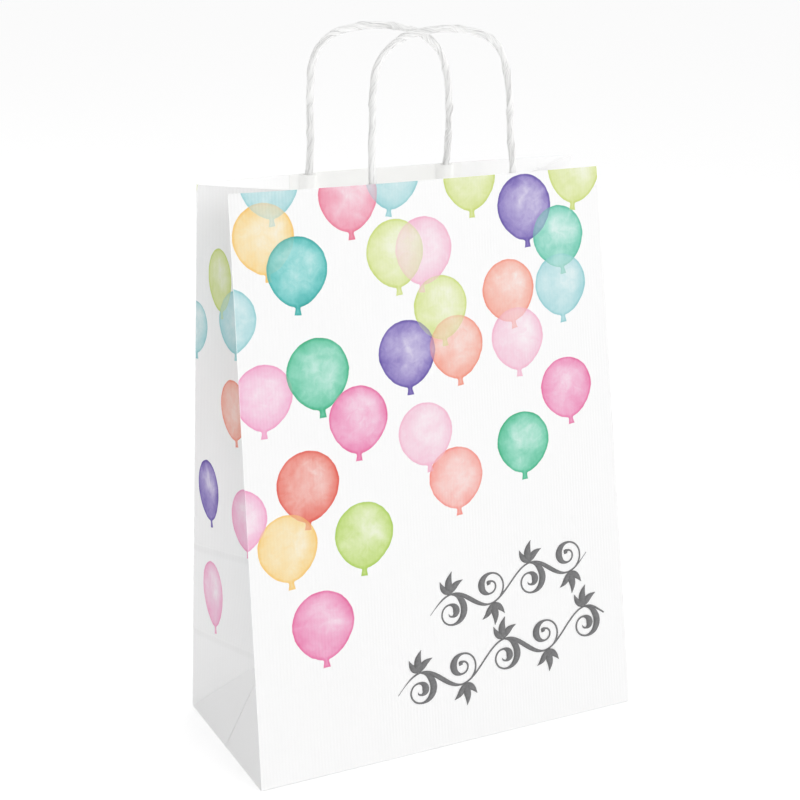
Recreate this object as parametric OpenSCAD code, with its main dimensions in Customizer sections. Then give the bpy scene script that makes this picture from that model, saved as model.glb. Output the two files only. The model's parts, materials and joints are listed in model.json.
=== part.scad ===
// Paper gift bag with twisted-cord handles.
// The bag stands on its folded bottom. The front faces -Y, +Z is up, and the origin is the
// middle of the bottom. The mouth is drawn nearly shut, so both walls lean inwards and the
// side gussets are folded in between them.

/* [Bag] */
// Width of the front and back panels
bag_w = 260; // [180:5:340]
// Depth of the flat bottom from front crease to back crease
bag_d = 120; // [90:5:160]
// Height of the panels, measured up the paper
bag_h = 350; // [260:5:420]
// Distance between the two walls at the mouth
mouth_gap = 29; // [24:1:60]
// How far the mouth sits behind the middle of the bottom
mouth_shift = 8; // [0:1:12]
// How much lower the gusset's middle crease hangs than the panel edges
crease_drop = 6; // [2:0.5:10]

/* [Paper] */
// Thickness of the sheet
paper_t = 0.2; // [0.15:0.05:0.4]
// Clearance between two panels that meet at a fold
fold_gap = 0.3; // [0.2:0.05:0.5]
// Width of the glued side seam
seam_w = 22; // [12:1:30]

/* [Bottom] */
// How far the front and back bottom flaps overlap each other
flap_overlap = 25; // [10:1:40]
// Depth of the flaps folded in from the two ends
end_flap_depth = 58; // [40:1:70]

/* [Handles] */
// Diameter of the twisted paper cord
rope_d = 4.6; // [3.5:0.1:6]
// Distance between the two legs of the front handle
front_pitch = 101; // [70:1:120]
// Distance between the two legs of the back handle
back_pitch = 94; // [70:1:120]
// How far the front handle sits to the right of the front panel's middle
front_offset = 17.5; // [0:0.5:25]
// How far the back handle sits to the right of the back panel's middle, seen from behind
back_offset = 12.5; // [0:0.5:25]
// Height of the cord's middle line above the top edge
handle_h = 91; // [70:1:110]
// Length of the straight legs above the top edge
leg_h = 50; // [30:1:60]
// Fullness of the arch: 2 is an ellipse, more is squarer
arch_power = 2.35; // [2:0.05:3]
// Clearance between the two handles where they cross
handle_gap = 1.2; // [0.8:0.1:3]

/* [Handle patches] */
// Height of the reinforcing strips
patch_h = 45; // [30:1:60]
// How far a strip runs past each leg
patch_margin = 12; // [8:1:30]
// Length of cord glued between the strips, below the top edge
tail_len = 38; // [25:1:50]
// How far the raised fold of paper over a cord runs past it on each side
bulge_side = 4.2; // [4:0.1:7]

/* [Hidden] */

FRONT = -1;
BACK = 1;
LEFT = -1;
RIGHT = 1;

half_w = bag_w / 2;
half_d = bag_d / 2;
rope_r = rope_d / 2;
glue = 0.05;                                 // glue line between a cord and its strips
panel_lift = 0.4;                            // panels start this far above their bottom crease
base_inset = 0.8;                            // bottom flaps stay this far inside the creases
corner_lift = 1.4;                           // corner triangles start this far above the bottom
edge_trim = 1;                               // paper left off where a gusset meets a corner fold
gusset_start = 5;                            // a gusset begins this far up its panel's edge
gusset_rows = 26;
seam_setback = 3;                            // the seam starts this far in from the panel's edge
paper_white = [0.96, 0.96, 0.95];
patch_white = [0.92, 0.92, 0.90];
cord_white = [0.98, 0.98, 0.97];

// Lean of each wall from upright, from the places of its bottom crease and its top edge.
front_lean = asin((half_d - mouth_gap / 2 + mouth_shift) / bag_h);
back_lean = asin((half_d - mouth_gap / 2 - mouth_shift) / bag_h);
function lean(side) = side == FRONT ? front_lean : back_lean;

// Cord places in a wall's own frame, where y is the distance in from its outer face.
cord_y = 2 * paper_t + glue + rope_r;
hinge_rise = rope_r + 0.9;                   // the bend of the cord is this far above the top edge
hinge_h = bag_h + hinge_rise;
tail_top = hinge_h - rope_r - 0.6;           // a swinging handle's end clears the tail below it
bow_start = 0.2;

function hinge_y(side) = side * (half_d - hinge_h * sin(lean(side)) - cord_y * cos(lean(side)));

// The handles lean less than their walls, so that they pass each other with handle_gap.
closing = (hinge_y(BACK) - hinge_y(FRONT) - rope_d - handle_gap) / (handle_h - hinge_rise);
function handle_lean(side) =
    min(lean(side), atan(closing * lean(side) / (front_lean + back_lean)));

function pitch(side) = side == FRONT ? front_pitch : back_pitch;
function offset_x(side) = side == FRONT ? front_offset : back_offset;
function legs(side) = [offset_x(side) - pitch(side) / 2, offset_x(side) + pitch(side) / 2];

// ---- The folded sheet ----------------------------------------------------------------

// A point on a wall's outer face, h up the paper, and the wall's inward normal.
function wall_point(side, x, h) =
    [x, side * (half_d - h * sin(lean(side))), h * cos(lean(side))];
function wall_inward(side) = [0, -side * cos(lean(side)), -sin(lean(side))];

// The left gusset's middle crease: it is half the bottom's depth of paper from both walls.
function crease_inset(h) =
    let (g = half_d - h * (sin(front_lean) + sin(back_lean)) / 2)
    sqrt(half_d * half_d - g * g - crease_drop * crease_drop);
function crease_point(h) =
    let (middle = (wall_point(FRONT, -half_w, h) + wall_point(BACK, -half_w, h)) / 2)
    middle + [crease_inset(h), 0, -crease_drop];

apex = crease_point(half_d);
function bottom_corner(side) = [-half_w, side * half_d, 0];

// The gusset's inner end at height h: on the corner fold low down, on the crease above it.
function gusset_end(side, h) =
    h < half_d ? bottom_corner(side) + (apex - bottom_corner(side)) * h / half_d
               : crease_point(h) + [0, side * fold_gap / 2, 0];

function unit(v) = v / norm(v);

// One row across half a gusset, from just behind the wall to the crease.
function gusset_row(side, h) =
    let (a = wall_point(side, -half_w, h) + wall_inward(side) * (2 * paper_t + fold_gap),
         b = gusset_end(side, h),
         trim = h < half_d + edge_trim ? edge_trim : 0)
    [a, b + unit(a - b) * trim];

// A thin closed solid from rows of outer points, thickened by t to one side.
module sheet(rows, t) {
    n = len(rows);
    m = len(rows[0]);
    function at(i, j) = rows[min(max(i, 0), n - 1)][min(max(j, 0), m - 1)];
    function normal(i, j) = unit(cross(at(i, j + 1) - at(i, j - 1), at(i + 1, j) - at(i - 1, j)));
    outer = [for (i = [0:n - 1]) for (j = [0:m - 1]) at(i, j)];
    inner = [for (i = [0:n - 1]) for (j = [0:m - 1]) at(i, j) + normal(i, j) * t];
    k = n * m;
    function quad(a, b, c, d) = [[a, b, c], [a, c, d]];
    faces = [
        for (i = [0:n - 2]) for (j = [0:m - 2])
            let (a = i * m + j) each quad(a, a + 1, a + m + 1, a + m),
        for (i = [0:n - 2]) for (j = [0:m - 2])
            let (a = k + i * m + j) each quad(a, a + m, a + m + 1, a + 1),
        for (i = [0:n - 2]) let (a = i * m) each quad(a, a + m, a + m + k, a + k),
        for (i = [0:n - 2]) let (a = i * m + m - 1) each quad(a, a + k, a + m + k, a + m),
        for (j = [0:m - 2]) each quad(j, j + k, j + 1 + k, j + 1),
        for (j = [0:m - 2]) let (a = (n - 1) * m + j) each quad(a, a + 1, a + 1 + k, a + k)
    ];
    polyhedron(points = concat(outer, inner), faces = faces, convexity = 4);
}

// Half of the left gusset, between a wall's edge and the middle crease.
module left_gusset_half(side) {
    heights = [for (i = [0:gusset_rows])
        gusset_start + (bag_h - gusset_start) * pow(i / gusset_rows, 1.3)];
    rows = [for (h = heights) gusset_row(side, h)];
    sheet([for (r = rows) side == FRONT ? r : [r[1], r[0]]], paper_t);
}

// Half of the triangle that joins the left gusset to the bottom.
module left_corner_half(side) {
    foot = [-half_w, 0, 0];
    up = unit(apex - foot);
    out = [0, side, 0];
    start = foot + up * corner_lift + out * fold_gap / 2;
    tip = apex - up * 4 * edge_trim + out * fold_gap / 2;
    far = bottom_corner(side) + up * corner_lift - out * (corner_lift + 3 * edge_trim);
    near_tip = tip + out * edge_trim;
    rows = [[start, far], [tip, near_tip]];
    sheet([for (r = rows) side == FRONT ? [r[1], r[0]] : r], paper_t);
}

module gusset_half(hand, side) {
    if (hand == LEFT) left_gusset_half(side);
    else mirror([1, 0, 0]) left_gusset_half(side);
}

module corner_half(hand, side) {
    if (hand == LEFT) left_corner_half(side);
    else mirror([1, 0, 0]) left_corner_half(side);
}

// ---- Walls ---------------------------------------------------------------------------

// Places a wall's own frame (x across, y inwards, z up the paper) in the bag. The back
// wall is turned half round, so that its x also runs to the right seen from outside.
module on_wall(side) {
    rotate([0, 0, side == BACK ? 180 : 0])
        translate([0, -half_d, 0])
            rotate([-lean(side), 0, 0])
                children();
}

module panel() {
    translate([-half_w, 0, panel_lift])
        cube([bag_w, paper_t, bag_h - panel_lift]);
}

// The glued lap, on the back wall's edge that is to the right of the front.
module seam_strip() {
    translate([-half_w + seam_setback, paper_t, panel_lift])
        cube([seam_w, paper_t, bag_h - panel_lift]);
}

// ---- Bottom --------------------------------------------------------------------------

// A long flap folded under the bottom, with mitred ends.
module long_flap(side, level) {
    reach = half_d - base_inset + flap_overlap / 2;
    wide = half_w - base_inset;
    near = side * (half_d - base_inset);
    far = near - side * reach;
    translate([0, 0, level * paper_t])
        linear_extrude(paper_t)
            polygon([[-wide, near], [wide, near], [wide - reach, far], [-wide + reach, far]]);
}

module end_flap(hand) {
    wide = bag_d - 4 * base_inset;
    x0 = hand == LEFT ? -half_w + base_inset : half_w - base_inset - end_flap_depth;
    translate([x0, -wide / 2, 2 * paper_t])
        cube([end_flap_depth, wide, paper_t]);
}

// ---- Handle patches ------------------------------------------------------------------

function patch_x(side) = legs(side)[0] - patch_margin;
function patch_w(side) = pitch(side) + 2 * patch_margin;

module patch_base(side) {
    translate([patch_x(side), paper_t, bag_h - patch_h])
        cube([patch_w(side), paper_t, patch_h]);
}

// Height of the covering strip over the base strip, at a distance from a leg.
bulge_h = rope_d + 2 * glue + 0.5;
bulge_reach = rope_r + bulge_side;
function bulge(x) = abs(x) >= bulge_reach ? 0 : bulge_h * (1 + cos(180 * x / bulge_reach)) / 2;

// The covering strip: flat, with a raised fold over each leg.
module patch_cover(side) {
    steps = 14;
    low = 2 * paper_t;
    x0 = patch_x(side);
    xs = concat([x0],
                [for (leg = legs(side)) for (i = [-steps:steps]) leg + bulge_reach * i / steps],
                [x0 + patch_w(side)]);
    function rise(x) = max([for (leg = legs(side)) bulge(x - leg)]);
    lower = [for (x = xs) [x, low + rise(x)]];
    upper = [for (i = [len(xs) - 1:-1:0]) [xs[i], low + rise(xs[i]) + paper_t]];
    translate([0, 0, bag_h - patch_h])
        linear_extrude(patch_h)
            polygon(concat(lower, upper));
}

module rope_tails(side) {
    for (leg = legs(side))
        translate([leg, cord_y, bag_h - tail_len])
            cylinder(r = rope_r, h = tail_top - bag_h + tail_len, $fn = 32);
}

// ---- Handles -------------------------------------------------------------------------

// The arch in its own plane: x across, then up from the bend.
function arch_point(side, a) =
    let (rise = handle_h - leg_h, p = 2 / arch_power, c = cos(a), s = sin(a))
    [offset_x(side) - sign(c) * pitch(side) / 2 * pow(abs(c), p),
     leg_h - hinge_rise + rise * pow(abs(s), p)];

function bow_path(side) =
    let (foot = bow_start, top = leg_h - hinge_rise, n = 4, m = 24)
    concat([for (i = [0:n - 1]) [legs(side)[0], foot + (top - foot) * i / n]],
           [for (i = [0:m]) arch_point(side, 180 * i / m)],
           [for (i = [n - 1:-1:0]) [legs(side)[1], foot + (top - foot) * i / n]]);

// A round cord along a path that lies in the plane y = 0.
module cord(path, r, sides) {
    n = len(path);
    function along(i) = unit(path[min(i + 1, n - 1)] - path[max(i - 1, 0)]);
    points = [for (i = [0:n - 1]) for (k = [0:sides - 1])
        let (t = along(i), a = 360 * k / sides)
        [path[i][0] + r * cos(a) * t[1], r * sin(a), path[i][1] - r * cos(a) * t[0]]];
    faces = concat(
        [for (i = [0:n - 2]) for (k = [0:sides - 1])
            let (a = i * sides + k, b = i * sides + (k + 1) % sides)
            each [[a, b + sides, b], [a, a + sides, b + sides]]],
        [[for (k = [0:sides - 1]) k]],
        [[for (k = [sides - 1:-1:0]) (n - 1) * sides + k]]);
    polyhedron(points = points, faces = faces, convexity = 4);
}

module bow(side) {
    translate([0, cord_y, hinge_h])
        rotate([lean(side) - handle_lean(side), 0, 0])
            cord(bow_path(side), rope_r, 12);
}

// ---- Nodes ---------------------------------------------------------------------------

module front_panel() { color(paper_white) on_wall(FRONT) panel(); }
module back_panel() { color(paper_white) on_wall(BACK) panel(); }
module seam_lap() { color(paper_white) on_wall(BACK) seam_strip(); }
module left_gusset_front() { color(paper_white) gusset_half(LEFT, FRONT); }
module left_gusset_rear() { color(paper_white) gusset_half(LEFT, BACK); }
module right_gusset_front() { color(paper_white) gusset_half(RIGHT, FRONT); }
module right_gusset_rear() { color(paper_white) gusset_half(RIGHT, BACK); }
module left_corner_front() { color(paper_white) corner_half(LEFT, FRONT); }
module left_corner_rear() { color(paper_white) corner_half(LEFT, BACK); }
module right_corner_front() { color(paper_white) corner_half(RIGHT, FRONT); }
module right_corner_rear() { color(paper_white) corner_half(RIGHT, BACK); }
module left_end_flap() { color(paper_white) end_flap(LEFT); }
module right_end_flap() { color(paper_white) end_flap(RIGHT); }
module front_bottom_flap() { color(paper_white) long_flap(FRONT, 0); }
module back_bottom_flap() { color(paper_white) long_flap(BACK, 1); }
module front_patch_base() { color(patch_white) on_wall(FRONT) patch_base(FRONT); }
module front_patch_cover() { color(patch_white) on_wall(FRONT) patch_cover(FRONT); }
module front_rope_tails() { color(cord_white) on_wall(FRONT) rope_tails(FRONT); }
module front_handle() { color(cord_white) on_wall(FRONT) bow(FRONT); }
module back_patch_base() { color(patch_white) on_wall(BACK) patch_base(BACK); }
module back_patch_cover() { color(patch_white) on_wall(BACK) patch_cover(BACK); }
module back_rope_tails() { color(cord_white) on_wall(BACK) rope_tails(BACK); }
module back_handle() { color(cord_white) on_wall(BACK) bow(BACK); }

front_panel();
back_panel();
seam_lap();
left_gusset_front();
left_gusset_rear();
right_gusset_front();
right_gusset_rear();
left_corner_front();
left_corner_rear();
right_corner_front();
right_corner_rear();
left_end_flap();
right_end_flap();
front_bottom_flap();
back_bottom_flap();
front_patch_base();
front_patch_cover();
front_rope_tails();
front_handle();
back_patch_base();
back_patch_cover();
back_rope_tails();
back_handle();
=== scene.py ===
"""A white paper gift bag printed with watercolour balloons, with twisted paper cord handles.

The bag is one folded sheet of paper. A place on the sheet is given by its girth, measured
around the bag to the right from the front's left edge, and by its height up the paper.
Lengths are in metres, and lists of places are in millimetres and multiplied by MM.
"""

import json
import math

import bpy
import numpy as np
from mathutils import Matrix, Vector


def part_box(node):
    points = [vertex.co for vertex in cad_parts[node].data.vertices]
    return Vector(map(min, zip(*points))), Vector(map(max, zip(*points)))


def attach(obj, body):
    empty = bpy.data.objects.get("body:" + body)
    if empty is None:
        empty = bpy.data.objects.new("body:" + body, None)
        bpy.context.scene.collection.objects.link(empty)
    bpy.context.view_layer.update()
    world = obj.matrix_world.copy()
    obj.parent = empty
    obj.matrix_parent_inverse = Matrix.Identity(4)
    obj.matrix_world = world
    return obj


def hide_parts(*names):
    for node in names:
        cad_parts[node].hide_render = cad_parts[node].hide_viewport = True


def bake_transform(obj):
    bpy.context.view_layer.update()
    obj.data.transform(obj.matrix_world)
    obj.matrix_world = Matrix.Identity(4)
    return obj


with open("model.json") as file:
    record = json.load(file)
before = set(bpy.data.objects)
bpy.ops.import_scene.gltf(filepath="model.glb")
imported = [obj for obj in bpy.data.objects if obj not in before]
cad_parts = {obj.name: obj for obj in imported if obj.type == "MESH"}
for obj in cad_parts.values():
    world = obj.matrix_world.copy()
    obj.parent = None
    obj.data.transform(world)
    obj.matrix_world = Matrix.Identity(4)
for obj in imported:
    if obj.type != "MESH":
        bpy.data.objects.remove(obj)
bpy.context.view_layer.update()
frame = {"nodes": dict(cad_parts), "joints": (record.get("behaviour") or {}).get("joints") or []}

MM = 0.001
FRONT, BACK = -1, 1
LEFT, RIGHT = -1, 1

# ---- Sizes of the sheet ----------------------------------------------------------------

panel_low, panel_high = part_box("front_panel")
PAPER = 0.2 * MM
WIDTH = panel_high.x - panel_low.x
DEPTH = -2 * panel_low.y
HEIGHT = math.hypot(panel_high.y - panel_low.y - PAPER, panel_high.z)
HALF_DEPTH = DEPTH / 2
PRINT_REPEAT = WIDTH + DEPTH      # the front's print comes again on the back
GIRTH = 2 * PRINT_REPEAT
FOLD_HEIGHT = DEPTH               # the bag was folded flat across this height
CREASE_DROP = 6 * MM              # the gusset's middle crease hangs this much lower
LIP = 5 * MM                      # a gusset runs this far behind the corner triangle
CORNER_GAP = 0.2 * MM             # each half of a corner triangle stops this short of its middle
TOP_BOW = {FRONT: 4 * MM, BACK: 9 * MM}   # how far the top edges bow outwards
FOOT_ROUND = 2.0 * MM             # the soft turn of the paper from a wall into the bottom

# Where the four corners of the mouth are held, (x, y).
MOUTH = {
    (LEFT, FRONT): (-125.5 * MM, -14.8 * MM),
    (RIGHT, FRONT): (128.5 * MM, 2.5 * MM),
    (LEFT, BACK): (-131.3 * MM, 18.8 * MM),
    (RIGHT, BACK): (124.5 * MM, 26.7 * MM),
}

# ---- Camera ----------------------------------------------------------------------------

CAMERA_PLACE = (-0.4378, -0.8441, 0.4987)
CAMERA_AIM = (-0.0106, 0, 0.2094)
CAMERA_ROLL = 0.48     # degrees
CAMERA_LENS = 72.5     # millimetres of focal length on a sensor 36 mm wide


def make_camera():
    data = bpy.data.cameras.new("camera")
    data.lens = CAMERA_LENS
    data.sensor_width = 36
    camera = bpy.data.objects.new("camera", data)
    bpy.context.scene.collection.objects.link(camera)
    camera.location = CAMERA_PLACE
    aim = Vector(CAMERA_AIM) - camera.location
    camera.rotation_euler = aim.to_track_quat("-Z", "Y").to_euler()
    camera.rotation_euler.rotate_axis("Z", math.radians(CAMERA_ROLL))
    bpy.context.scene.camera = camera


make_camera()

# ---- Nodes -----------------------------------------------------------------------------


def add_node(tree, kind, settings, sockets):
    """A node with its settings, then the values or links of its sockets."""
    node = tree.nodes.new(kind)
    for name, value in settings.items():
        setattr(node, name, value)
    for key, value in sockets.items():
        if isinstance(value, Number):
            value = value.socket
        if isinstance(value, bpy.types.NodeSocket):
            tree.links.new(value, node.inputs[key])
        else:
            node.inputs[key].default_value = value
    return node


class Number:
    """A number inside a material. Arithmetic on it adds Math nodes."""

    def __init__(self, tree, socket):
        self.tree = tree
        self.socket = socket

    def math(self, operation, *others):
        values = dict(enumerate((self, *others)))
        node = add_node(self.tree, "ShaderNodeMath", {"operation": operation}, values)
        return Number(self.tree, node.outputs[0])

    def __add__(self, other):
        return self.math("ADD", other)

    __radd__ = __add__

    def __sub__(self, other):
        return self.math("SUBTRACT", other)

    def __rsub__(self, other):
        return (self * -1) + other

    def __mul__(self, other):
        return self.math("MULTIPLY", other)

    __rmul__ = __mul__

    def __truediv__(self, other):
        return self.math("DIVIDE", other)

    def __pow__(self, other):
        return self.math("POWER", other)

    def __abs__(self):
        return self.math("ABSOLUTE")

    def at_least(self, other):
        return self.math("MAXIMUM", other)

    def at_most(self, other):
        return self.math("MINIMUM", other)

    def step(self, low, high):
        """Turns smoothly from 0 to 1 between two values."""
        settings = {"interpolation_type": "SMOOTHSTEP"}
        values = {0: self, 1: low, 2: high, 3: 0.0, 4: 1.0}
        node = add_node(self.tree, "ShaderNodeMapRange", settings, values)
        return Number(self.tree, node.outputs[0])


class Finish:
    """A material under construction."""

    def __init__(self, name):
        self.material = bpy.data.materials.new(name)
        self.material.use_nodes = True
        self.tree = self.material.node_tree
        self.tree.nodes.clear()

    def node(self, kind, settings, sockets):
        return add_node(self.tree, kind, settings, sockets)

    def number(self, socket):
        return Number(self.tree, socket)

    def split(self, vector):
        node = self.node("ShaderNodeSeparateXYZ", {}, {0: vector})
        return [self.number(socket) for socket in node.outputs]

    def join(self, x, y, z):
        return self.node("ShaderNodeCombineXYZ", {}, {0: x, 1: y, 2: z}).outputs[0]

    def scaled(self, vector, factors):
        sockets = {0: vector, 1: factors}
        return self.node("ShaderNodeVectorMath", {"operation": "MULTIPLY"}, sockets).outputs[0]

    def noise(self, vector, scale, detail=2.0, distortion=0.0):
        sockets = {"Vector": vector, "Scale": scale, "Detail": detail, "Distortion": distortion}
        return self.number(self.node("ShaderNodeTexNoise", {}, sockets).outputs[0])

    def attribute(self, name):
        return self.node("ShaderNodeAttribute", {"attribute_name": name}, {}).outputs

    def mixed(self, factor, first, second, how="MIX"):
        settings = {"data_type": "RGBA", "blend_type": how}
        return self.node("ShaderNodeMix", settings, {0: factor, 6: first, 7: second}).outputs[2]

    def shade(self, colour, roughness, height, depth, specular=0.35, glow=0.0):
        """Ends the material: colour, roughness, a relief of the given depth, and a faint glow."""
        relief = {"Strength": 1.0, "Distance": depth, "Height": height}
        bump = self.node("ShaderNodeBump", {}, relief)
        sockets = {
            "Base Color": colour,
            "Roughness": roughness,
            "Specular IOR Level": specular,
            "Normal": bump.outputs[0],
            "Emission Color": (1, 1, 1, 1),
            "Emission Strength": glow,
        }
        shader = self.node("ShaderNodeBsdfPrincipled", {}, sockets)
        self.node("ShaderNodeOutputMaterial", {}, {0: shader.outputs[0]})
        return self.material


def tint(red, green, blue):
    """A colour from screen values of 0 to 255."""
    screen = [value / 255 for value in (red, green, blue)]
    light = [v / 12.92 if v <= 0.04045 else ((v + 0.055) / 1.055) ** 2.4 for v in screen]
    return (*light, 1.0)


# ---- Paper -----------------------------------------------------------------------------

WHITE = tint(251, 251, 251)
RIB_PITCH = 2.1 * MM
PAPER_GLOW = 0.145     # of the inside and the patches, in place of light through the paper
MATT = 0.7             # the roughness of unprinted paper
DULL = 0.25            # and its specular level


def fold_line(height, place, depth):
    """A crease across the sheet: a raised line with a soft dip beside it. In colour it is painted
    light: a painted highlight on the line and painted shade in the dip.
    """
    line = 1 - abs(height - place).step(0.1 * MM, 0.9 * MM)
    dip = 1 - abs(height - (place - 2.5 * MM)).step(0.5 * MM, 3.5 * MM)
    return (line * 0.6 - dip) * depth


def paper_relief(finish, folds):
    """Fine upright ribs with fibres between them. Returns the relief and a faint colour factor:
    painted shade along the ribs, the painted highlight and shade of the folds, and the paper's own
    tone in the streaks and fibres.
    """
    sheet = finish.node("ShaderNodeUVMap", {"uv_map": "sheet"}, {}).outputs[0]
    girth, height, _ = finish.split(sheet)
    drift = finish.noise(finish.scaled(sheet, (60, 12, 0)), 1.0)
    ribs = (girth * (2 * math.pi / RIB_PITCH) + drift * 5).math("SINE") * 0.5 + 0.5
    streaks = finish.noise(finish.scaled(sheet, (900, 45, 0)), 1.0, 3.0)
    fibres = finish.noise(sheet, 1500.0, 3.0)
    cockle = finish.noise(finish.scaled(sheet, (9, 6, 0)), 1.0, 1.0)
    # The creases are bumps, and their colour is painted as well: a painted highlight on each crease
    # and painted shade beside it.
    creases = fold_line(height, FOLD_HEIGHT, folds) + fold_line(height, HALF_DEPTH, folds)
    relief = ribs * 0.4 + streaks * 0.45 + fibres * 0.2 + cockle * 2.0 + creases * 2.0
    # Painted shade along the ribs and painted light at the folds, with the streaks and fibres as
    # the paper's own tone.
    shading = 1 - (ribs * 0.015 + streaks * 0.018 + fibres * 0.01) + creases * 0.035
    return relief, shading


def toned(finish, white, shading):
    """A white made darker by its shading."""
    sockets = {0: white[:3], 3: shading}
    return finish.node("ShaderNodeVectorMath", {"operation": "SCALE"}, sockets).outputs[0]


def plain_paper():
    """The unprinted inside, with a painted glow in place of light through the paper."""
    finish = Finish("plain_paper")
    relief, shading = paper_relief(finish, 0.3)
    white = toned(finish, WHITE, shading)
    return finish.shade(white, MATT, relief, 0.07 * MM, DULL, PAPER_GLOW)


def flap_paper():
    """The bottom's paper, whose pattern lies flat."""
    finish = Finish("flap_paper")
    place = finish.node("ShaderNodeTexCoord", {}, {}).outputs["Object"]
    streaks = finish.noise(finish.scaled(place, (45, 900, 45)), 1.0, 3.0)
    fibres = finish.noise(place, 1500.0, 3.0)
    shading = 1 - (streaks * 0.03 + fibres * 0.02)
    white = toned(finish, WHITE, shading)
    return finish.shade(white, MATT, streaks * 0.6 + fibres * 0.4, 0.06 * MM, DULL)


# ---- Balloons --------------------------------------------------------------------------

# The body colour of each ink. Where the paint lies thicker it darkens by itself.
INKS = {
    "yellow": tint(252, 218, 150),
    "lime": tint(220, 231, 158),
    "leaf": tint(196, 222, 128),
    "green": tint(104, 200, 164),
    "sea": tint(128, 210, 188),
    "teal": tint(96, 194, 190),
    "sky": tint(178, 222, 226),
    "purple": tint(136, 120, 190),
    "rose": tint(243, 158, 180),
    "hot": tint(240, 146, 188),
    "pink": tint(247, 186, 216),
    "blush": tint(248, 204, 222),
    "coral": tint(248, 176, 160),
    "salmon": tint(250, 178, 170),
    "red": tint(238, 136, 124),
}

# How far an ink hides the one it is painted over.
HIDING = {"teal": 0.92, "green": 0.85, "purple": 0.65}
USUAL_HIDING = 0.5

# A balloon's body: half its width, its reach above and below the middle, and its neck.
BODY = 18.3
CROWN = 18.3
TAPER = 20.6
NECK = 4.3
NECK_WIDTH = 1.5

# (girth, height, lean in degrees, size, ink) of the front's balloons, in millimetres, on
# a grid of 5 mm.
FRONT_BALLOONS = [
    (25, 355, 2, 1.0, "sky"),
    (20, 325, 4, 1.05, "yellow"),
    (40, 305, -2, 1.05, "teal"),
    (75, 345, 3, 1.05, "rose"),
    (105, 355, -8, 1.0, "sky"),
    (105, 310, 4, 1.05, "lime"),
    (125, 310, -6, 1.05, "blush"),
    (160, 350, 2, 1.0, "lime"),
    (200, 330, 3, 1.05, "purple"),
    (240, 350, -6, 1.05, "lime"),
    (225, 310, 6, 1.0, "sea"),
    (225, 280, 2, 1.0, "sky"),
    (185, 280, 8, 1.0, "coral"),
    (190, 250, 0, 1.0, "blush"),
    (135, 275, 5, 1.0, "lime"),
    (110, 250, 2, 1.05, "purple"),
    (145, 250, 4, 1.0, "coral"),
    (-5, 280, -6, 1.0, "sky"),
    (15, 235, -2, 1.0, "pink"),
    (50, 245, 4, 1.1, "green"),
    (75, 215, -2, 1.05, "hot"),
    (120, 200, 5, 1.0, "blush"),
    (140, 170, 3, 1.0, "salmon"),
    (190, 185, 0, 1.0, "green"),
    (225, 215, 6, 1.0, "hot"),
    (40, 180, -3, 1.1, "red"),
    (-5, 165, -8, 1.0, "pink"),
    (25, 145, 3, 1.05, "yellow"),
    (75, 145, -3, 1.05, "leaf"),
    (45, 95, 2, 1.1, "hot"),
]

# (girth, height, lean, width, size, ink) of the left gusset's balloons, drawn narrow.
GUSSET_BALLOONS = [
    (-105, 295, 4, 0.38, 1.0, "lime"),
    (-110, 160, 6, 0.36, 1.05, "purple"),
    (-105, 90, 8, 0.38, 1.15, "pink"),
    (-95, 215, 7, 0.42, 1.0, "coral"),
    (-95, 270, 2, 0.55, 1.0, "sky"),
    (-85, 145, 6, 0.5, 1.05, "pink"),
    (-50, 320, 4, 0.44, 1.0, "yellow"),
    (-45, 195, -4, 0.44, 1.0, "sea"),
    (-25, 225, 3, 0.44, 1.0, "coral"),
    (-50, 110, 3, 0.44, 1.0, "sky"),
]
EDGE_BALLOON = (-120, 265, 3, 0.42, 0.85, "sky")
WIDENING = 0.08   # how much wider the front's balloons are drawn towards its right edge
LAYERS = 4        # the most balloons that lie over each other at one spot
NOWHERE = 99.0    # a place far from any balloon


def all_balloons():
    """Every balloon on the whole sheet: girth, height, lean, width and height scale, ink, seed."""
    rows = []
    for turn in (0, 1):
        shift = turn * PRINT_REPEAT / MM
        for girth, height, lean, size, ink in FRONT_BALLOONS:
            width = size * (1 + WIDENING * girth * MM / WIDTH)
            rows.append((girth + shift, height, lean, width, size, ink))
        for girth, height, lean, width, size, ink in GUSSET_BALLOONS:
            rows.append((girth + shift, height, lean, width, size, ink))
    rows.append(EDGE_BALLOON)
    return [(*row, index * 7.3) for index, row in enumerate(rows)]


BALLOONS = all_balloons()


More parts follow.
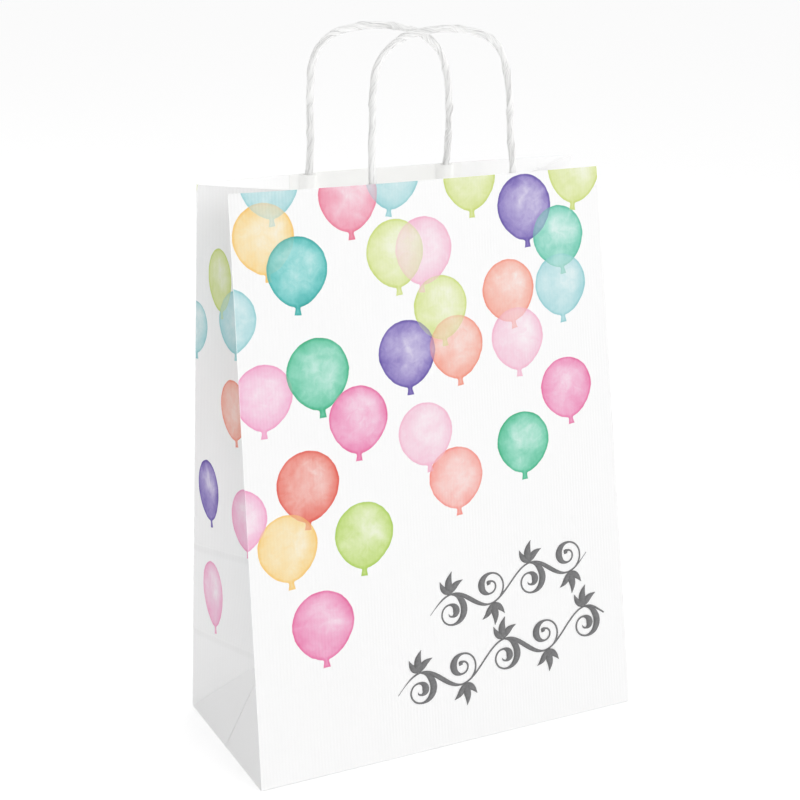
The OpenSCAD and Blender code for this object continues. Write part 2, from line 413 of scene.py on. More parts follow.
def print_balloons(mesh, girth, height, printed):
    """Stores, at each corner of the printed faces, its place on up to LAYERS balloons."""
    corners = np.zeros(len(mesh.loops), int)
    mesh.loops.foreach_get("vertex_index", corners)
    places = np.full((LAYERS, len(corners), 3), NOWHERE)
    inks = np.ones((LAYERS, len(corners), 4))
    used = np.zeros(len(mesh.polygons), int)
    starts = np.array([face.loop_start for face in mesh.polygons])
    counts = np.array([face.loop_total for face in mesh.polygons])
    owner = np.repeat(np.arange(len(counts)), counts)
    g = girth[corners] / MM
    h = height[corners] / MM
    for centre, middle, lean, wide, tall, ink, seed in BALLOONS:
        for turn in (-1, 0, 1):
            dx = g - centre - turn * GIRTH / MM
            dy = h - middle
            c, s = math.cos(math.radians(lean)), math.sin(math.radians(lean))
            x = (dx * c + dy * s) / wide
            y = (dy * c - dx * s) / tall
            inside = (abs(x) < BODY + 2) & (y < CROWN + 2) & (y > -TAPER - NECK - 2)
            lowest = [np.minimum.reduceat(v, starts) for v in (x, y)]
            highest = [np.maximum.reduceat(v, starts) for v in (x, y)]
            near = printed & (lowest[0] < BODY + 1) & (highest[0] > -BODY - 1)
            near &= (lowest[1] < CROWN + 1) & (highest[1] > -TAPER - NECK - 1)
            if not inside.any() or not near.any():
                continue
            for layer in range(LAYERS):
                faces = near & (used == layer)
                chosen = faces[owner]
                places[layer][chosen, 0] = x[chosen]
                places[layer][chosen, 1] = y[chosen]
                places[layer][chosen, 2] = seed
                inks[layer][chosen] = (*INKS[ink][:3], HIDING.get(ink, USUAL_HIDING))
            used[near] += 1
    if used.max() > LAYERS:
        raise ValueError(f"{used.max()} balloons lie over each other")
    for layer in range(LAYERS):
        place = mesh.attributes.new(f"balloon_{layer}", "FLOAT_VECTOR", "CORNER")
        place.data.foreach_set("vector", places[layer].ravel())
        ink = mesh.attributes.new(f"ink_{layer}", "FLOAT_COLOR", "CORNER")
        ink.data.foreach_set("color", inks[layer].ravel())


def balloon_wash(finish, layer):
    """One layer of balloons: where it is, how far it hides what is under it, and its colour."""
    place = finish.attribute(f"balloon_{layer}")["Vector"]
    ink = finish.attribute(f"ink_{layer}")
    x, y, _ = finish.split(place)
    above = y.at_least(0.0) / CROWN
    below = (y * -1).at_least(0.0) / TAPER
    across = (x / BODY) ** 2 * (1 + below * below * 0.4)
    spread = across + above * above + below * below
    body = 1 - spread.math("SQRT")
    drop = (y * -1) - TAPER
    neck = ((drop.at_least(0.0) * 0.2 + NECK_WIDTH) - abs(x)) / BODY
    neck = neck.at_most((NECK - drop) / BODY).at_most((drop + 5) / BODY)
    wobble = finish.noise(place, 0.22, 2.0) - 0.5
    inside = body.math("SMOOTH_MAX", neck, 0.12) + wobble * 0.045
    mask = inside.step(0.0, 0.022)
    rim = 1 - inside.step(0.0, 0.12)
    shoulder = 1 - inside.step(0.0, 0.5)
    cloud = finish.noise(place, 0.07, 2.0, 0.5)
    bloom = finish.noise(place, 0.2, 4.0, 1.2)
    grain = finish.noise(place, 1.6, 2.0)
    shine = 1 - ((x - 4) ** 2 / 190 + (y - 4) ** 2 / 230).step(0.0, 1.0)
    wash = 0.64 + (cloud - 0.5) * 0.9 + (bloom - 0.5) * 0.45 + (grain - 0.5) * 0.1
    wash = wash + shoulder * 0.28 + rim * 0.5 - shine * 0.2
    sockets = {0: ink["Color"], 1: wash.at_least(0.16)}
    colour = finish.node("ShaderNodeGamma", {}, sockets).outputs[0]
    return mask, finish.number(ink["Alpha"]), colour


def printed_paper(name, folds):
    """White paper with its balloons. Where two balloons meet, both of their colours show."""
    finish = Finish(name)
    relief, shading = paper_relief(finish, folds)
    white = toned(finish, WHITE, shading)
    colour = white
    covered = None
    for layer in range(LAYERS):
        mask, hiding, wash = balloon_wash(finish, layer)
        painted = finish.mixed(1.0, white, wash, "MULTIPLY")
        share = mask if covered is None else mask * (1 - covered * (1 - hiding))
        colour = finish.mixed(share, colour, painted)
        covered = mask if covered is None else covered.at_least(mask)
    return finish.shade(colour, 0.58, relief, 0.07 * MM)


def pen_ink():
    finish = Finish("pen_ink")
    place = finish.node("ShaderNodeTexCoord", {}, {}).outputs["Object"]
    grain = finish.noise(place, 700.0, 3.0)
    colour = finish.mixed(grain.step(0.35, 0.75), tint(114, 114, 115), tint(126, 126, 127))
    return finish.shade(colour, 0.55, grain, 0.01 * MM)


def patch_paper():
    """The strips that hold the cords: the same white paper, a little greyer and smoother, with a
    painted glow in place of light through the paper.
    """
    finish = Finish("patch_paper")
    place = finish.node("ShaderNodeTexCoord", {}, {}).outputs["Object"]
    streaks = finish.noise(finish.scaled(place, (900, 900, 60)), 1.0, 3.0)
    fibres = finish.noise(place, 1400.0, 3.0)
    shading = 1 - (streaks * 0.03 + fibres * 0.02)
    colour = toned(finish, tint(246, 246, 244), shading)
    relief = streaks * 0.6 + fibres * 0.4
    return finish.shade(colour, MATT, relief, 0.06 * MM, DULL, PAPER_GLOW)


def cord_paper():
    """Rolled paper: creases that wind round the cord with its wraps, each crease a bump with
    painted shade along its line.
    """
    finish = Finish("cord_paper")
    along = finish.number(finish.attribute("along")["Fac"])
    around = finish.number(finish.attribute("around")["Fac"])
    place = finish.join(around * 5, along * 14, 0.0)
    creases = finish.noise(place, 2.0, 3.0, 0.3)
    fine = finish.noise(finish.join(around * 16, along * 40, 3.0), 2.0, 3.0)
    folds = abs(creases - 0.5).step(0.0, 0.03)
    # Painted shade: the crease lines are darkened; the fine noise is the paper's own tone.
    shading = 1 - ((1 - folds) * 0.17 + fine * 0.03)
    colour = toned(finish, tint(252, 252, 251), shading)
    return finish.shade(colour, 0.5, creases * 1.2 + folds * 0.4 + fine * 0.25, 0.3 * MM, 0.4)


# ---- The folded sheet ------------------------------------------------------------------


def lift(values):
    """An array that can be multiplied with points."""
    return np.asarray(values, float)[..., None]


def wall_edge(hand, side, height):
    """Where a wall's left or right edge runs."""
    foot = np.array([hand * WIDTH / 2, side * HALF_DEPTH, 0.0])
    x, y = MOUTH[hand, side]
    reach = np.array([x - foot[0], y - foot[1], 0.0])
    reach[2] = math.sqrt(HEIGHT ** 2 - reach @ reach)
    return foot + lift(height) / HEIGHT * reach


def wall(side, across, height):
    """A point on a wall's outer face; across runs from its left edge seen from the front."""
    across = np.asarray(across, float)
    height = np.asarray(height, float)
    share = across / WIDTH
    rise = height / HEIGHT
    left = wall_edge(LEFT, side, height)
    right = wall_edge(RIGHT, side, height)
    flat = left * lift(1 - share) + right * lift(share)
    window = np.sin(np.pi * np.clip(share, 0, 1))
    ripple = np.sin(7.1 * share + 5.3 * rise + side) * np.sin(6.2 * rise - 2.2 * share + 1.1)
    belly = 0.9 * MM * np.sin(np.pi * np.clip(rise, 0, 1))
    bow = TOP_BOW[side] * np.sin(np.pi * np.clip(share, 0, 1) ** 0.7) * np.clip(rise, 0, 1) ** 3
    fold = -0.12 * MM * np.exp(-abs(height - FOLD_HEIGHT) / (2 * MM))
    turn = np.clip(1 - height / FOOT_ROUND, 0, 1)
    foot = FOOT_ROUND * (1 - np.sqrt(1 - turn ** 2))
    out = window * (0.45 * MM * ripple + belly + fold) + bow - foot
    return flat + lift(side * out) * np.array([0, 1.0, 0])


def crease(hand, height):
    """The middle crease of a gusset."""
    front = wall_edge(hand, FRONT, height)
    back = wall_edge(hand, BACK, height)
    gap = back - front
    half = np.linalg.norm(gap, axis=-1) / 2
    tuck = np.sqrt(np.maximum(HALF_DEPTH ** 2 - half ** 2 - CREASE_DROP ** 2, 0))
    bend = np.clip(1 - abs(np.asarray(height) - FOLD_HEIGHT) / (60 * MM), 0, 1)
    tuck = tuck + 2.0 * MM * bend
    inward = np.stack([gap[..., 1], -gap[..., 0], 0 * half], -1) * -hand
    inward = inward / lift(np.linalg.norm(inward, axis=-1))
    return (front + back) / 2 + inward * lift(tuck) - np.array([0, 0, CREASE_DROP])


def gusset(hand, side, across, height):
    """A point on half a gusset; across runs from the wall's edge to the middle crease."""
    across = np.asarray(across, float)
    height = np.asarray(height, float)
    apex = crease(hand, HALF_DEPTH)
    foot = wall_edge(hand, side, 0.0)
    low = np.clip(height, 1 * MM, HALF_DEPTH)
    slant = foot + (apex - foot) * lift(low / HALF_DEPTH)
    end = np.where(lift(height) < HALF_DEPTH, slant, crease(hand, height))
    share = across / np.where(height < HALF_DEPTH, low, HALF_DEPTH)
    start = wall_edge(hand, side, height)
    swell = 1.6 * MM * np.sin(np.pi * np.clip(share, 0, 1))
    swell = swell * np.clip((height - HALF_DEPTH) / HEIGHT * 3, 0, 1)
    return start + (end - start) * lift(share) + lift(swell * hand) * np.array([1.0, 0, 0])


def corner(hand, side, across, height):
    """A point on half of the triangle that joins a gusset to the bottom."""
    foot = np.array([hand * WIDTH / 2, 0.0, 0.0])
    apex = crease(hand, HALF_DEPTH)
    up = (apex - foot) / HALF_DEPTH
    return foot + lift(side * (HALF_DEPTH - across)) * np.array([0, 1.0, 0]) + lift(height) * up


def unit(vectors):
    return vectors / np.maximum(np.linalg.norm(vectors, axis=-1, keepdims=True), 1e-12)


def closed_sheet(name, points, girth, height, outward, thickness, materials, printed=False):
    """A thin closed sheet from a grid of outer points, thickened away from outward."""
    rows, columns = points.shape[:2]
    normal = unit(np.cross(np.gradient(points, axis=1), np.gradient(points, axis=0)))
    turned = np.sum(normal * np.asarray(outward, float)) < 0
    if turned:
        normal = -normal
    inner = points - normal * thickness
    count = rows * columns
    index = np.arange(count).reshape(rows, columns)
    quads = np.stack([index[:-1, :-1], index[:-1, 1:], index[1:, 1:], index[1:, :-1]], -1)
    quads = quads.reshape(-1, 4)
    if not turned:
        outer_faces, inner_faces = quads, quads[:, ::-1] + count
    else:
        outer_faces, inner_faces = quads[:, ::-1], quads + count
    border = np.concatenate([index[0], index[1:, -1], index[-1, -2::-1], index[-2:0:-1, 0]])
    following = np.roll(border, -1)
    rim = np.stack([following, border, border + count, following + count], -1)
    if turned:
        rim = rim[:, ::-1]
    faces = np.concatenate([outer_faces, inner_faces, rim])
    mesh = bpy.data.meshes.new(name)
    vertices = np.concatenate([points.reshape(-1, 3), inner.reshape(-1, 3)])
    mesh.from_pydata(vertices, [], faces.tolist())
    for material in materials:
        mesh.materials.append(material)
    kinds = np.zeros(len(faces), int)
    kinds[len(outer_faces):len(outer_faces) + len(inner_faces)] = 1
    mesh.polygons.foreach_set("material_index", kinds * (len(materials) - 1))
    both_girths = np.tile(girth.ravel(), 2)
    both_heights = np.tile(height.ravel(), 2)
    corners = np.zeros(len(mesh.loops), int)
    mesh.loops.foreach_get("vertex_index", corners)
    sheet = mesh.uv_layers.new(name="sheet")
    places = np.stack([both_girths[corners], both_heights[corners]], -1)
    sheet.uv.foreach_set("vector", places.ravel())
    if printed:
        print_balloons(mesh, both_girths, both_heights, kinds == 0)
    mesh.shade_smooth()
    mesh.set_sharp_from_angle(angle=math.radians(35))
    mesh.validate()
    obj = bpy.data.objects.new(name, mesh)
    bpy.context.scene.collection.objects.link(obj)
    return obj


def spread(low, high, step, extra=()):
    """Even places between two ends, with extra ones added."""
    even = np.linspace(low, high, max(2, round((high - low) / step) + 1))
    return np.unique(np.round(np.concatenate([even, extra]), 6))


def fold_rows(low):
    near_fold = FOLD_HEIGHT + np.array([-6, -3, -1.2, 0, 1.2, 3, 6]) * MM
    return spread(low, HEIGHT, 5 * MM, near_fold)


def make_wall(side, materials):
    name = "printed_front" if side == FRONT else "printed_back"
    edge_strip = np.array([0.4, 0.8, 1.6, 3]) * MM
    across, height = np.meshgrid(
        spread(0, WIDTH, 5 * MM, np.concatenate([edge_strip, WIDTH - edge_strip])),
        np.union1d(fold_rows(0.15 * MM), np.array([0.4, 0.8, 1.2, 2.4]) * MM),
    )
    girth = across if side == FRONT else WIDTH + DEPTH + WIDTH - across
    points = wall(side, across, height)
    return closed_sheet(name, points, girth, height, (0, side, 0), PAPER, materials, True)


def gusset_girth(hand, side, across):
    """The girth of a place on half a gusset."""
    if hand == LEFT:
        return -across if side == FRONT else across - DEPTH
    return WIDTH + across if side == FRONT else WIDTH + DEPTH - across


def make_gusset(hand, side, materials):
    hand_name = "left" if hand == LEFT else "right"
    side_name = "front" if side == FRONT else "rear"
    columns = spread(0, HALF_DEPTH, 3 * MM)
    low_rows = np.linspace(0, 1, 13)[:-1]
    bottom = np.maximum(columns - LIP, 1.2 * MM)
    low = bottom[None, :] + (HALF_DEPTH - bottom[None, :]) * low_rows[:, None]
    high = np.repeat(fold_rows(HALF_DEPTH)[:, None], len(columns), 1)
    height = np.concatenate([low, high])
    across = np.repeat(columns[None, :], len(height), 0)
    points = gusset(hand, side, across, height)
    behind = np.clip((across - height) / LIP, 0, 1)
    points = points - lift(behind * hand * 1.2 * MM) * np.array([1.0, 0, 0])
    girth = gusset_girth(hand, side, across)
    name = f"{hand_name}_gusset_{side_name}_half"
    outward = (hand, -side, 0)
    return closed_sheet(name, points, girth, height, outward, PAPER, materials, True)


def make_corner(hand, side, materials):
    hand_name = "left" if hand == LEFT else "right"
    side_name = "front" if side == FRONT else "rear"
    share = np.linspace(0, 1, 25)
    rise = np.linspace(0, 1, 25)
    columns, rows = np.meshgrid(share, rise)
    low = 0.3 * MM
    height = low + (HALF_DEPTH - low) * rows
    across = height + (HALF_DEPTH - CORNER_GAP - height) * columns
    points = corner(hand, side, across, height)
    points = points[:-1]
    girth = gusset_girth(hand, side, across)[:-1]
    name = f"{hand_name}_corner_{side_name}_half"
    return closed_sheet(name, points, girth, height[:-1], (hand, 0, -0.4), PAPER, materials, True)


# ---- Handle patches --------------------------------------------------------------------

CORD_RADIUS = 2.3 * MM
CORD_DEPTH = 2 * PAPER + 0.05 * MM + CORD_RADIUS
PATCH_HEIGHT = 45 * MM
PATCH_MARGIN = 12 * MM
BULGE_REACH = 6.2 * MM
# How far the drawn cords and patches stand sideways of where the CAD's cords do.
LEG_SHIFT = {FRONT: -3.5 * MM, BACK: 3.5 * MM}


def leg_places(side):
    """How far the two legs of a handle are from the wall's left edge."""
    low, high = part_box("front_rope_tails" if side == FRONT else "back_rope_tails")
    shift = LEG_SHIFT[side] + WIDTH / 2
    return [low.x + CORD_RADIUS + shift, high.x - CORD_RADIUS + shift]


def inside_wall(side, across, height, depth):
    """A point behind a wall's outer face, depth in from it."""
    step = 1 * MM
    right = wall(side, across + step, height) - wall(side, across - step, height)
    up = wall(side, across, height + step) - wall(side, across, height - step)
    outward = unit(np.cross(right, up)) * -side
    return wall(side, across, height) - outward * lift(depth)


def make_patch(side, name, cover, material):
    """A strip inside the wall; the covering one rises over each cord."""
    legs = leg_places(side)
    rise_steps = np.linspace(-1, 1, 25) * BULGE_REACH
    columns = spread(legs[0] - PATCH_MARGIN, legs[1] + PATCH_MARGIN, 5 * MM,
                     np.concatenate([leg + rise_steps for leg in legs]))
    across, height = np.meshgrid(columns, spread(HEIGHT - PATCH_HEIGHT, HEIGHT, 5 * MM))
    depth = np.full(across.shape, (2 if cover else 1) * PAPER + 0.02 * MM)
    if cover:
        for leg in legs:
            near = np.clip(abs(across - leg) / BULGE_REACH, 0, 1)
            depth = depth + (2 * CORD_RADIUS + 0.5 * MM) * (1 + np.cos(np.pi * near ** 2)) / 2
    points = inside_wall(side, across, height, depth)
    return closed_sheet(name, points, across, height, (0, side, 0), PAPER * 0.9, [material])


def make_seam(materials):
    """The glued lap inside the back wall's right edge."""
    across, height = np.meshgrid(
        spread(WIDTH - 25 * MM, WIDTH - 3 * MM, 5 * MM), fold_rows(2 * MM))
    points = inside_wall(BACK, across, height, np.full(across.shape, PAPER + 0.02 * MM))
    return closed_sheet("side_seam", points, across, height, (0, 1, 0), PAPER, materials)


# ---- Cords -----------------------------------------------------------------------------

# Each bow as (x, rise above the bend), in millimetres, from its left tail to its right.
FRONT_BOW = [
    (-33, 3), (-32, 14), (-30.5, 28), (-29.5, 41), (-28, 52.5), (-25, 63), (-19, 71),
    (-9, 78), (5, 81.5), (19, 83), (33, 82), (45, 79), (54, 73.5), (58.5, 66),
    (61, 55), (62.5, 42), (63, 28), (64, 14), (66, 3),
]
REAR_BOW = [
    (-59.5, 3), (-60, 14), (-61, 28), (-62, 41.5), (-62, 54), (-60.5, 65), (-56, 73),
    (-48, 79), (-37, 82), (-24, 83), (-9, 82), (4, 79), (14, 73.5), (21.5, 66),
    (26, 55), (29, 42), (31, 28), (32.5, 14), (34, 3),
]
TAIL = 38 * MM
SETTLE = 60 * MM       # a leg leaves its wall's line and joins the bow's plane over this


def bend_place(side):
    """The point and the direction of a handle's bow plane, from its hinge and its own box."""
    name = "front" if side == FRONT else "back"
    hinge = next(j for j in frame["joints"] if j["name"] == f"{name}_handle_bend")
    low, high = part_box(f"{name}_handle")
    foot = np.array(hinge["pos_m"])
    reach_y = (high.y - CORD_RADIUS if side == FRONT else low.y + CORD_RADIUS) - foot[1]
    reach_z = high.z - CORD_RADIUS - foot[2]
    return foot, unit(np.array([0, reach_y, reach_z]))


def smooth_line(points, step):
    """A smooth curve through points, with even steps."""
    points = np.asarray(points, float)
    padded = np.concatenate([[2 * points[0] - points[1]], points, [2 * points[-1] - points[-2]]])
    t = np.linspace(0, 1, 24, endpoint=False)[:, None]
    parts = []
    for a, b, c, d in zip(padded, padded[1:], padded[2:], padded[3:]):
        parts.append(0.5 * (2 * b + (c - a) * t + (2 * a - 5 * b + 4 * c - d) * t ** 2
                            + (3 * b - a - 3 * c + d) * t ** 3))
    line = np.concatenate(parts + [points[-1:]])
    length = np.concatenate([[0], np.cumsum(np.linalg.norm(np.diff(line, axis=0), axis=1))])
    even = np.linspace(0, length[-1], max(2, round(length[-1] / step)))
    return np.stack([np.interp(even, length, line[:, k]) for k in range(3)], -1)


def cord_line(side):
    """The centre line of a handle: tail, leg, bow, leg, tail."""
    foot, up = bend_place(side)
    bow = FRONT_BOW if side == FRONT else REAR_BOW
    legs = leg_places(side)

    def tail(leg):
        heights = HEIGHT - TAIL + np.linspace(0, TAIL, 5)
        return inside_wall(side, np.full(5, leg), heights, np.full(5, CORD_DEPTH))

    tails = [tail(leg) for leg in legs]
    bow = np.array(bow) * MM
    ends = bow[0, 0], bow[-1, 0]
    points = []
    for x, rise in bow:
        plain = np.array([x, foot[1], foot[2]]) + up * rise
        share = (x - ends[0]) / (ends[1] - ends[0])
        settle = np.clip(1 - rise / SETTLE, 0, 1) ** 2
        top = tails[0][-1] * (1 - share) + tails[1][-1] * share
        aside = top[0] - (ends[0] * (1 - share) + ends[1] * share)
        level = np.array([aside, top[1] - foot[1] + (foot[2] - top[2]) * up[1], 0])
        points.append(plain + level * settle)
    return smooth_line(np.concatenate([tails[0], points, tails[1][::-1]]), 1.0 * MM)


def new_tree(name, inputs):
    """A Geometry Nodes tree with named inputs. Returns it, its input node and its output node."""
    tree = bpy.data.node_groups.new(name, "GeometryNodeTree")
    tree.interface.new_socket("Geometry", in_out="INPUT", socket_type="NodeSocketGeometry")
    for label, kind in inputs.items():
        tree.interface.new_socket(label, in_out="INPUT", socket_type="NodeSocket" + kind)
    tree.interface.new_socket("Geometry", in_out="OUTPUT", socket_type="NodeSocketGeometry")
    return tree, tree.nodes.new("NodeGroupInput"), tree.nodes.new("NodeGroupOutput")


def finish_tree(tree, start, end, geometry):
    """Realizes the instances, sets the material and ends the tree."""
    real = add_node(tree, "GeometryNodeRealizeInstances", {}, {0: geometry})
    sockets = {0: real.outputs[0], "Material": start.outputs["Material"]}
    painted = add_node(tree, "GeometryNodeSetMaterial", {}, sockets)
    tree.links.new(painted.outputs[0], end.inputs[0])
    return tree


def wrapped_cord_tree():
    """Sweeps a rolled-paper section along a line, turning it as the cord is twisted."""
    tree, start, end = new_tree("wrapped_cord", {
        "Radius": "Float", "Wrap step": "Float", "Turn length": "Float",
        "Unevenness": "Float", "Sides": "Int", "Material": "Material",
    })
    given = start.outputs

    def maths(operation, *values):
        sockets = dict(enumerate(values))
        return add_node(tree, "ShaderNodeMath", {"operation": operation}, sockets).outputs[0]

    def scaled(operation, values):
        return add_node(tree, "ShaderNodeVectorMath", {"operation": operation}, values).outputs[0]

    def changed(kind, values):
        return add_node(tree, kind, {}, values).outputs[0]

    def stored(geometry, name, value):
        sockets = {0: geometry, "Name": name, "Value": value}
        settings = {"data_type": "FLOAT", "domain": "POINT"}
        return add_node(tree, "GeometryNodeStoreNamedAttribute", settings, sockets).outputs[0]

    ring = add_node(tree, "GeometryNodeCurvePrimitiveCircle", {"mode": "RADIUS"},
                    {"Resolution": given["Sides"], "Radius": given["Radius"]})
    order = add_node(tree, "GeometryNodeInputIndex", {}, {}).outputs[0]
    around = maths("DIVIDE", order, given["Sides"])
    overlap = maths("SUBTRACT", around, 0.5)
    second = maths("FRACT", maths("ADD", around, 0.37))
    second = maths("MULTIPLY", maths("SUBTRACT", second, 0.5), 0.5)
    steps = maths("MULTIPLY", maths("ADD", overlap, second), given["Wrap step"])
    size = maths("ADD", steps, 1.0)
    here = add_node(tree, "GeometryNodeInputPosition", {}, {}).outputs[0]
    moved = scaled("SCALE", {0: here, 3: size})
    flat = scaled("MULTIPLY", {0: moved, 1: (1.04, 0.93, 1)})
    section = changed("GeometryNodeSetPosition", {0: ring.outputs[0], "Position": flat})
    section = stored(section, "around", around)

    along = add_node(tree, "GeometryNodeSplineParameter", {}, {}).outputs["Length"]
    slow = add_node(tree, "ShaderNodeTexNoise", {"noise_dimensions": "1D"},
                    {"W": maths("MULTIPLY", along, 45.0), "Scale": 1.0, "Detail": 1.0})
    turns = maths("ADD", maths("DIVIDE", along, given["Turn length"]), slow.outputs[0])
    line = stored(given["Geometry"], "along", along)
    tilt = maths("MULTIPLY", turns, math.tau)
    line = changed("GeometryNodeSetCurveTilt", {0: line, "Tilt": tilt})
    uneven = add_node(tree, "ShaderNodeTexNoise", {"noise_dimensions": "1D"},
                      {"W": maths("MULTIPLY", along, 130.0), "Scale": 1.0, "Detail": 2.0})
    change = maths("MULTIPLY", maths("SUBTRACT", uneven.outputs[0], 0.5), given["Unevenness"])
    thickness = maths("ADD", change, 1.0)
    line = changed("GeometryNodeSetCurveRadius", {0: line, "Radius": thickness})
    swept = add_node(tree, "GeometryNodeCurveToMesh", {}, {0: line, 1: section, "Fill Caps": True})
    if "Scale" in swept.inputs:
        radius = add_node(tree, "GeometryNodeInputRadius", {}, {}).outputs[0]
        tree.links.new(radius, swept.inputs["Scale"])
    return finish_tree(tree, start, end, swept.outputs[0])


def line_object(name, lines, radii=None):
    """A curve object of plain splines."""
    data = bpy.data.curves.new(name, "CURVE")
    data.dimensions = "3D"
    data.twist_mode = "MINIMUM" if radii is None else "Z_UP"
    for number, line in enumerate(lines):
        spline = data.splines.new("POLY")
        spline.points.add(len(line) - 1)
        spline.points.foreach_set("co", np.c_[line, np.ones(len(line))].ravel())
        if radii is not None:
            spline.points.foreach_set("radius", radii[number])
    obj = bpy.data.objects.new(name, data)
    bpy.context.scene.collection.objects.link(obj)
    return obj


def made_by(tree, source, name, values):
    """Runs a Geometry Nodes tree on an object and keeps its result as a plain mesh."""
    modifier = source.modifiers.new("shape", "NODES")
    modifier.node_group = tree
    for item in tree.interface.items_tree:
        if item.item_type == "SOCKET" and item.in_out == "INPUT" and item.name in values:
            modifier[item.identifier] = values[item.name]
    seen = source.evaluated_get(bpy.context.evaluated_depsgraph_get())
    mesh = bpy.data.meshes.new_from_object(seen)
    mesh.name = name
    bpy.data.objects.remove(source)
    obj = bpy.data.objects.new(name, mesh)
    bpy.context.scene.collection.objects.link(obj)
    return obj


def make_cord(side, tree, material):
    name = "front_cord" if side == FRONT else "back_cord"
    source = line_object(name + "_line", [cord_line(side)])
    values = {
        "Radius": CORD_RADIUS * 0.97, "Wrap step": 0.15, "Turn length": 42 * MM,
        "Unevenness": 0.07, "Sides": 40, "Material": material,
    }
    obj = made_by(tree, source, name, values)
    obj.data.shade_smooth()
    obj.data.set_sharp_from_angle(angle=math.radians(50))
    return obj


# ---- Pen flourish ----------------------------------------------------------------------

HAIRLINE = 0.55 * MM
DOWNSTROKE = 2.4 * MM


def brush_tree():
    """Lays a flat stroke of ink along each line, as wide as the line's radius there."""
    tree, start, end = new_tree("brush_stroke", {"Thickness": "Float", "Material": "Material"})
    section = add_node(tree, "GeometryNodeCurvePrimitiveQuadrilateral", {"mode": "RECTANGLE"},
                       {"Width": 2.0, "Height": start.outputs["Thickness"]})
    swept = add_node(tree, "GeometryNodeCurveToMesh", {},
                     {0: start.outputs["Geometry"], 1: section.outputs[0], "Fill Caps": True})
    if "Scale" in swept.inputs:
        radius = add_node(tree, "GeometryNodeInputRadius", {}, {}).outputs[0]
        tree.links.new(radius, swept.inputs["Scale"])
    return finish_tree(tree, start, end, swept.outputs[0])


def pen_width(line):
    """A pen's half width: wide where it is drawn downwards, thin elsewhere, tapered at the ends."""
    direction = unit(np.gradient(line, axis=0))
    down = np.clip(-direction[:, 1], 0, 1) ** 1.3
    kernel = np.ones(5) / 5
    down = np.convolve(np.pad(down, 2, mode="edge"), kernel, "valid")
    share = np.linspace(0, 1, len(line))
    ends = np.clip(np.minimum(share, 1 - share) * 14, 0.35, 1)
    return (HAIRLINE + (DOWNSTROKE - HAIRLINE) * down) * ends


def scroll(x, y, size, start, turns):
    """A curl that winds in to its middle: start is its first angle, in degrees."""
    t = np.linspace(0, 1, 90)
    radius = size * (1 - 0.86 * t ** 0.8)
    angle = math.radians(start) + math.tau * turns * t
    return np.stack([x + radius * np.cos(angle), y + radius * np.sin(angle), 0 * t], -1)


def leaf(x, y, size, lean):
    """A pointed leaf as a short line, and its half widths."""
    t = np.linspace(0, 1, 24)
    bend = 0.12 * np.sin(np.pi * t)
    c, s = math.cos(math.radians(lean)), math.sin(math.radians(lean))
    line = np.stack([x + size * (t * c - bend * s), y + size * (t * s + bend * c), 0 * t], -1)
    return line, size * 0.17 * np.sin(np.pi * t ** 0.75) ** 1.1 + 0.12 * MM


# A row of the flourish: where it starts, its length and rise, and its waves.
FLOURISH_ROWS = [
    {"start": (117, 86), "length": 116, "rise": 20, "waves": 4, "swing": 8},
    {"start": (92, 40), "length": 152, "rise": 24, "waves": 5, "swing": 9},
]
CURL = 11.5 * MM


def flourish_strokes():
    """The strokes of the pen flourish on the flat sheet, with their half widths."""
    lines, widths = [], []

    def draw(line, width=None):
        lines.append(line)
        widths.append(pen_width(line) if width is None else width)

    for row in FLOURISH_ROWS:
        x0, y0 = np.array(row["start"]) * MM
        length, rise, swing = (row[k] * MM for k in ("length", "rise", "swing"))
        t = np.linspace(0, 1, 60 * row["waves"])
        phase = t * row["waves"] * math.pi
        draw(np.stack([x0 + length * t, y0 + rise * t + swing * np.sin(phase), 0 * t], -1))
        for wave in range(row["waves"]):
            middle = (wave + 0.5) / row["waves"]
            up = 1 if wave % 2 == 0 else -1
            x = x0 + length * middle
            crest = y0 + rise * middle + up * swing
            draw(scroll(x, crest - up * CURL, CURL, 90 * up, -up * 1.7))
            for lean, size in ((38, 12), (82, 14), (128, 11)):
                draw(*leaf(x, crest + up * 0.5 * MM, size * MM, lean * up))
    return lines, widths


def make_flourish(side, tree, material):
    name = "front_flourish" if side == FRONT else "back_flourish"
    lines, widths = flourish_strokes()
    lines = [line + np.array([0, 0, 0.004 * MM * number]) for number, line in enumerate(lines)]
    source = line_object(name + "_lines", lines, widths)
    obj = made_by(tree, source, name, {"Thickness": 0.03, "Material": material})
    flat = np.zeros(len(obj.data.vertices) * 3)
    obj.data.vertices.foreach_get("co", flat)
    flat = flat.reshape(-1, 3)
    across = flat[:, 0] if side == FRONT else WIDTH - flat[:, 0]
    placed = inside_wall(side, across, flat[:, 1], -flat[:, 2] - 0.1 * MM)
    obj.data.vertices.foreach_set("co", placed.ravel())
    obj.data.update()
    return obj


# ---- Floor and light -------------------------------------------------------------------


FLOOR_REACH = 40.0     # metres from the middle to a side
FLOOR_GREY = (0.80, 0.80, 0.80, 1)
FLOOR_GLOW = 0.36      # keeps the floor white


def make_floor():
    mesh = bpy.data.meshes.new("floor")
    around = ((-1, -1), (1, -1), (1, 1), (-1, 1))
    corners = [(x * FLOOR_REACH, y * FLOOR_REACH, 0) for x, y in around]
    mesh.from_pydata(corners, [], [(0, 1, 2, 3)])
    floor = bpy.data.objects.new("floor", mesh)
    bpy.context.scene.collection.objects.link(floor)
    finish = Finish("floor")
    matt = finish.node("ShaderNodeBsdfDiffuse", {}, {"Color": FLOOR_GREY})
    light = {"Color": (1, 1, 1, 1), "Strength": FLOOR_GLOW}
    glow = finish.node("ShaderNodeEmission", {}, light)
    both = finish.node("ShaderNodeAddShader", {}, {0: matt.outputs[0], 1: glow.outputs[0]})
    finish.node("ShaderNodeOutputMaterial", {}, {0: both.outputs[0]})
    mesh.materials.append(finish.material)


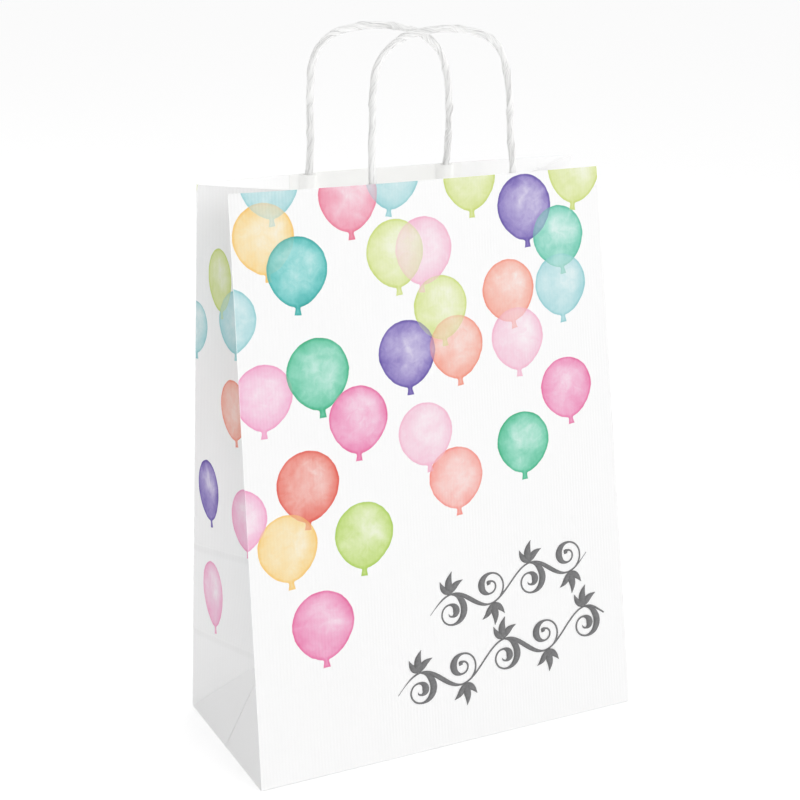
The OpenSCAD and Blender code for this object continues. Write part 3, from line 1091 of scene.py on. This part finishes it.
def make_lamp(name, place, aim, size, power):
    data = bpy.data.lights.new(name, "AREA")
    data.size = size
    data.energy = power
    lamp = bpy.data.objects.new(name, data)
    lamp.location = place
    lamp.rotation_euler = (Vector(aim) - Vector(place)).to_track_quat("-Z", "Y").to_euler()
    bpy.context.scene.collection.objects.link(lamp)


def make_sky():
    """A white studio that is darker on the left, so that the bag's left side is in soft shade."""
    world = bpy.data.worlds.new("studio")
    world.use_nodes = True
    tree = world.node_tree
    tree.nodes.clear()
    way = add_node(tree, "ShaderNodeTexCoord", {}, {}).outputs["Generated"]
    side = Number(tree, add_node(tree, "ShaderNodeSeparateXYZ", {}, {0: way}).outputs[0])
    strength = side.step(-0.75, 0.2) * 1.05 + 0.05
    light = add_node(tree, "ShaderNodeBackground", {}, {0: (1, 1, 1, 1), 1: strength})
    add_node(tree, "ShaderNodeOutputWorld", {}, {0: light.outputs[0]})
    bpy.context.scene.world = world


def make_studio():
    make_floor()
    make_sky()
    make_lamp("key", (0.9, -2.0, 1.4), (0, 0, 0.3), 1.4, 7)
    make_lamp("left_fill", (-1.8, 0.3, 1.6), (-WIDTH / 2, 0, 0.05), 1.5, 16)
    bpy.context.scene.view_settings.view_transform = "Standard"


# ---- Making the bag --------------------------------------------------------------------


def fold_between(obj, side):
    """Bakes half a gusset's transform into its mesh."""
    top = wall_edge(LEFT, side, HEIGHT)
    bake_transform(obj)


def make_bag():
    # How strong the folds are: faint on the walls and full on the gussets, both as bumps and as
    # their painted highlight and shade.
    printed = printed_paper("printed_paper", 0.08)
    printed_gusset = printed_paper("printed_gusset_paper", 1.0)
    plain = plain_paper()
    patch = patch_paper()
    cord = cord_paper()
    ink = pen_ink()
    cord_tree = wrapped_cord_tree()
    pen_tree = brush_tree()

    for side, body, cad in ((FRONT, "front_wall", "front"), (BACK, "back_wall", "back")):
        panel = make_wall(side, [printed, plain])
        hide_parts(f"{cad}_panel")
        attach(panel, body)

        base = make_patch(side, f"{cad}_patch_strip", False, patch)
        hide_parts(f"{cad}_patch_base")
        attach(base, body)

        cover = make_patch(side, f"{cad}_patch_cover_strip", True, patch)
        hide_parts(f"{cad}_patch_cover")
        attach(cover, body)

        flourish = make_flourish(side, pen_tree, ink)
        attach(flourish, body)

        handle = make_cord(side, cord_tree, cord)
        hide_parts(f"{cad}_handle", f"{cad}_rope_tails")
        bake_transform(handle)

    seam = make_seam([plain])
    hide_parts("seam_lap")
    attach(seam, "back_wall")

    for hand, hand_name in ((LEFT, "left"), (RIGHT, "right")):
        for side, side_name in ((FRONT, "front"), (BACK, "rear")):
            half = make_gusset(hand, side, [printed_gusset, plain])
            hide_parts(f"{hand_name}_gusset_{side_name}")
            fold_between(half, side)

            triangle = make_corner(hand, side, [printed_gusset, plain])
            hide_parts(f"{hand_name}_corner_{side_name}")
            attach(triangle, f"{hand_name}_corner_{side_name}")

    flap = flap_paper()
    for name in ("left_end_flap", "right_end_flap", "front_bottom_flap", "back_bottom_flap"):
        node = frame["nodes"][name]
        node.data.materials.clear()
        node.data.materials.append(flap)


make_bag()
make_studio()
